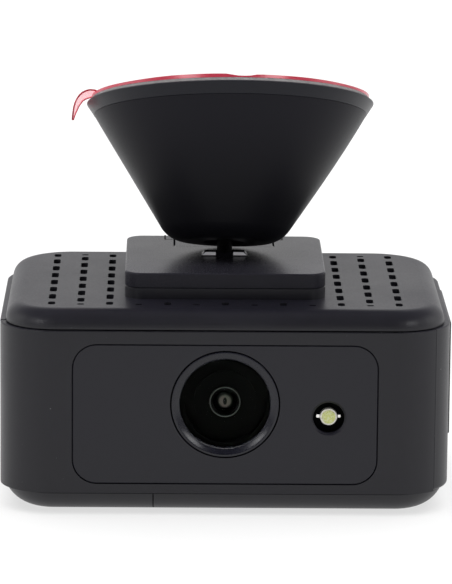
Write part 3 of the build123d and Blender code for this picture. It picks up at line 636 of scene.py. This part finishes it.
tab_edge = put(bm, "pull_tab_edges", M["red_edge"], "mount", angle=60)

# black strips under the outer ends of the two slits in the plate: a painted shadow in the slits
for sgn, nm in ((-1, "slit_shadow_left"), (1, "slit_shadow_right")):
    bm = bmesh.new()
    for hw, z in ((0.205, 52.2), (0.205, 51.2)):
        row = [bm.verts.new(((sgn * 13.6 + u * hw) * MM, y * MM, z * MM)) for u, y in ((-1, 17.3), (1, 17.3), (1, 23.1), (-1, 23.1))]
        if z > 52:
            up_row = row
            bm.faces.new(row)
        else:
            bm.faces.new(row[::-1])
            for k in range(4):
                bm.faces.new((up_row[k], row[k], row[(k + 1) % 4], up_row[(k + 1) % 4]))
    put(bm, nm, M["black_plastic"], "bracket", smooth=False)

# lamp: round moulded package and its two leads, the right one mostly under the moulding
LEDX, LEDZ = 23.07, 22.31
bm = bmesh.new()
lathe(bm, [(0.0, -33.80), (1.50, -33.80), (1.56, -33.84), (1.74, -33.86), (1.86, -33.80), (1.93, -33.62), (1.95, -33.3), (1.95, -32.3), (0.0, -32.3)], 72, (LEDX, LEDZ), closed=False)
lamp_body = put(bm, "lamp_moulding", M["lamp_white"], "camera", angle=40)
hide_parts("lamp_package")
bm = bmesh.new()
lathe(bm, [(0.0, -33.88), (1.0, -33.885), (1.5, -33.86), (1.60, -33.80), (1.60, -33.4), (0.0, -33.4)], 72, (LEDX, LEDZ), closed=False)
lamp_dome = put(bm, "lamp_phosphor_fill", M["lamp_phosphor"], "camera", angle=40)
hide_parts("lamp_phosphor")
bm = bmesh.new()
for cx_, hw, hz in ((-2.30, 0.46, 0.40), (2.38, 0.34, 0.34)):
    outline = []
    for k in range(20):
        a = 2 * math.pi * k / 20
        ca, sa = math.cos(a), math.sin(a)
        outline.append((cx_ + hw * abs(ca) ** 0.5 * (1 if ca > 0 else -1), hz * abs(sa) ** 0.5 * (1 if sa > 0 else -1)))
    f_ = [bm.verts.new(((LEDX + u * 0.9 + cx_ * 0.1) * MM, -33.05 * MM, (LEDZ + w * 0.9) * MM)) for u, w in outline]
    m_ = [bm.verts.new(((LEDX + u) * MM, -32.95 * MM, (LEDZ + w) * MM)) for u, w in outline]
    b_ = [bm.verts.new(((LEDX + u) * MM, -32.3 * MM, (LEDZ + w) * MM)) for u, w in outline]
    bm.faces.new(f_)
    bm.faces.new(b_[::-1])
    for A, B in ((f_, m_), (m_, b_)):
        for k in range(20):
            bm.faces.new((A[k], A[(k + 1) % 20], B[(k + 1) % 20], B[k]))
leads = put(bm, "lamp_lead_pads", M["lamp_metal"], "camera", angle=40)
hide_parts("lamp_leads")

# front bevels of the stud's foot, either side of the neck, near-white and glowing a little: a painted highlight
foot_highlight_paint = plastic("foot_bevel_painted_highlight", (0.86, 0.85, 0.88), 0.35, spec=0.4, grain=2600.0, grain_h=2e-6)
# painted light: the bevels glow a little, standing in for the highlights on them
foot_highlight_paint.node_tree.nodes["Principled BSDF"].inputs["Emission Color"].default_value = (0.95, 0.94, 1.0, 1.0)
foot_highlight_paint.node_tree.nodes["Principled BSDF"].inputs["Emission Strength"].default_value = 0.14
for sgn, nm in ((-1, "foot_bevel_left"), (1, "foot_bevel_right")):
    bm = bmesh.new()
    lo, hi = [], []
    for x, y, z in ((2.0, -2.0, 52.50), (5.05, -2.0, 52.50), (4.3, -1.55, 53.12), (2.0, -1.55, 53.12)):
        lo.append(bm.verts.new((sgn * x * MM, y * MM, z * MM)))
        hi.append(bm.verts.new((sgn * x * MM, (y - 0.06) * MM, (z + 0.03) * MM)))
    bm.faces.new(hi)
    bm.faces.new(lo[::-1])
    for k in range(4):
        bm.faces.new((lo[k], lo[(k + 1) % 4], hi[(k + 1) % 4], hi[k]))
    put(bm, nm, foot_highlight_paint, "bracket", smooth=False)


# ---------------------------------------------------------------- floor, world, lights
def disc(name, r, z, seg=96):
    bm = bmesh.new()
    bmesh.ops.create_circle(bm, cap_ends=True, radius=r, segments=seg)
    bmesh.ops.translate(bm, verts=bm.verts, vec=(0, 0, z))
    me = bpy.data.meshes.new(name)
    bm.to_mesh(me)
    bm.free()
    o = bpy.data.objects.new(name, me)
    scene.collection.objects.link(o)
    return o


floor = disc("floor_plain", 4.0, -0.0002)
g = G("floor_pale")
n = g.noise(12.0, 3.0)
g.into(g.mix(g.map(n, 0.3, 0.7, 0.0, 1.0), (0.185, 0.185, 0.185), (0.195, 0.195, 0.195)), "Base Color")
g.set(Roughness=0.9, Specular_IOR_Level=0.05, Emission_Color=(1.0, 1.0, 1.0, 1.0), Emission_Strength=0.67)
floor.data.materials.append(g.m)

world = bpy.data.worlds.new("studio")
scene.world = world
world.use_nodes = True
wt = world.node_tree
wt.nodes.clear()
out = wt.nodes.new("ShaderNodeOutputWorld")
bg = wt.nodes.new("ShaderNodeBackground")
tc = wt.nodes.new("ShaderNodeTexCoord")
sep = wt.nodes.new("ShaderNodeSeparateXYZ")
wt.links.new(tc.outputs["Generated"], sep.inputs[0])


def wmap(v, a, b, c, d):
    x = wt.nodes.new("ShaderNodeMapRange")
    x.interpolation_type = "SMOOTHSTEP"
    x.inputs["From Min"].default_value = a
    x.inputs["From Max"].default_value = b
    x.inputs["To Min"].default_value = c
    x.inputs["To Max"].default_value = d
    wt.links.new(v, x.inputs["Value"])
    return x.outputs["Result"]


# dark towards the lens side of the set and overhead, bright low at the sides and the back
front_dark = wmap(sep.outputs["Y"], -0.80, 0.05, 0.03, 0.92)
high_dark = wmap(sep.outputs["Z"], 0.30, 0.85, 1.0, 0.12)
mul = wt.nodes.new("ShaderNodeMath")
mul.operation = "MULTIPLY"
wt.links.new(front_dark, mul.inputs[0])
wt.links.new(high_dark, mul.inputs[1])
wt.links.new(mul.outputs[0], bg.inputs["Strength"])
bg.inputs["Color"].default_value = (1.0, 0.995, 1.0, 1.0)
lp = wt.nodes.new("ShaderNodeLightPath")
bgc = wt.nodes.new("ShaderNodeBackground")
bgc.inputs["Color"].default_value = (1.0, 1.0, 1.0, 1.0)
bgc.inputs["Strength"].default_value = 1.0
mx = wt.nodes.new("ShaderNodeMixShader")
wt.links.new(lp.outputs["Is Camera Ray"], mx.inputs[0])
wt.links.new(bg.outputs[0], mx.inputs[1])
wt.links.new(bgc.outputs[0], mx.inputs[2])
wt.links.new(mx.outputs[0], out.inputs["Surface"])


def area(name, loc, target, sx, sy, power, spec=1.0):
    d = bpy.data.lights.new(name, "AREA")
    d.shape = "RECTANGLE"
    d.size, d.size_y = sx, sy
    d.energy = power
    d.specular_factor = spec
    o = bpy.data.objects.new(name, d)
    scene.collection.objects.link(o)
    o.location = loc
    o.rotation_euler = (Vector(target) - Vector(loc)).to_track_quat("-Z", "Y").to_euler()
    return o


key = area("key_top", (0.0, 0.15, 1.2), (0, 0, 0.0), 2.2, 2.2, 62.0)
key.visible_glossy = False
fill = area("fill_front", (0.0, -1.3, 0.9), (0, 0, 0.03), 1.8, 1.0, 3.0)
fill.visible_glossy = False
for sx in (-1, 1):
    glint = area("glint_%s" % ("left" if sx < 0 else "right"), (sx * 0.85, -1.05, 0.62), (0, 0, 0.03), 0.42, 0.42, 4.0)
    glint.visible_diffuse = False
area("side_left", (-1.1, 0.05, 0.40), (0, 0, 0.04), 0.6, 0.7, 0.9)
area("side_right", (1.1, 0.05, 0.40), (0, 0, 0.04), 0.6, 0.7, 1.3)

# ---------------------------------------------------------------- update
bpy.context.view_layer.update()
